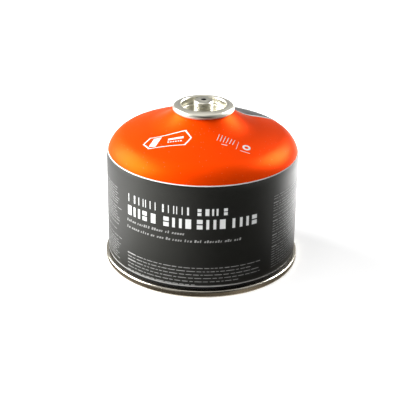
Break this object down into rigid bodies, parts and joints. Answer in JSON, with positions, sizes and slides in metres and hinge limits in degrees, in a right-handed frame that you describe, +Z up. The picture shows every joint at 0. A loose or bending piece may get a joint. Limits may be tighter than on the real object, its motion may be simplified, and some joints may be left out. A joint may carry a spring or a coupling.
{
  "type": "fuel canister",
  "caption": "Squat round camping gas canister with a domed top, threaded valve boss in a crimped cup and a seamed base.",
  "frame": {"origin": "centre of the base rim, on the surface that the can stands on", "axes": "+Z up along the can's axis, -Y towards the front of the print"},
  "size_m": [0.1112, 0.1112, 0.0942],
  "materials": {
    "printed_can": "gloss varnish over orange and dark grey print",
    "tinplate": "bright tinplate",
    "plated_cup": "bright pressed, faint turning marks",
    "seal_rubber": "matt black"
  },
  "bodies": {
    "root": {"can_body": "printed_can", "base_end": "tinplate", "valve_cup": "plated_cup", "cup_gasket": "seal_rubber", "valve_gasket": "seal_rubber"}
  },
  "joints": []
}
